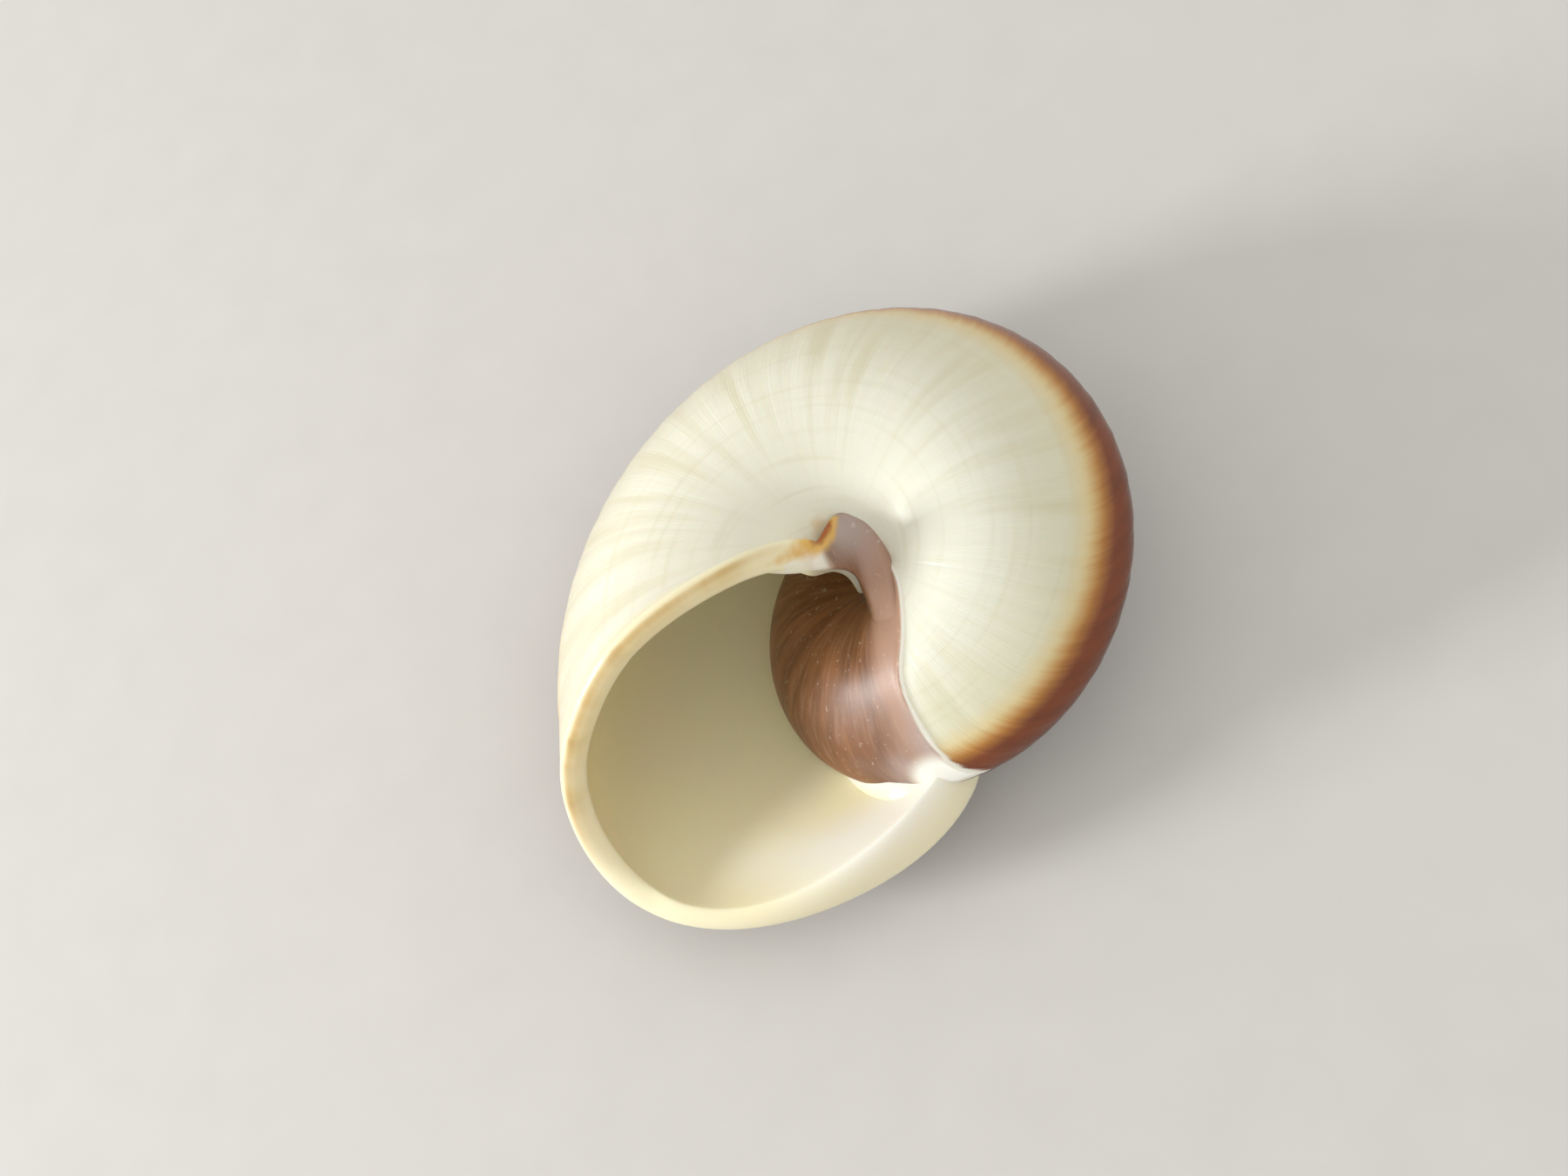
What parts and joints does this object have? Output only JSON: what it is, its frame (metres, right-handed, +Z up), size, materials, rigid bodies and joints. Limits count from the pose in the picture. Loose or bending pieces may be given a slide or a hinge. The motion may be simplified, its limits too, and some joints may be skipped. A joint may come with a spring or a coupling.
{
  "type": "snail shell",
  "caption": "Empty low-spired snail shell, white base and brown spire, lying base up with its thick-lipped mouth open.",
  "frame": {"origin": "middle of the bounding box on the surface the shell lies on", "axes": "+Z up with the shell lying base up on its spire, +X along the shell's longest side, -Y towards the viewer"},
  "size_m": [0.0626, 0.0524, 0.0293],
  "materials": {
    "shell": "polished natural shell"
  },
  "bodies": {
    "root": {"shell": "shell"}
  },
  "joints": []
}
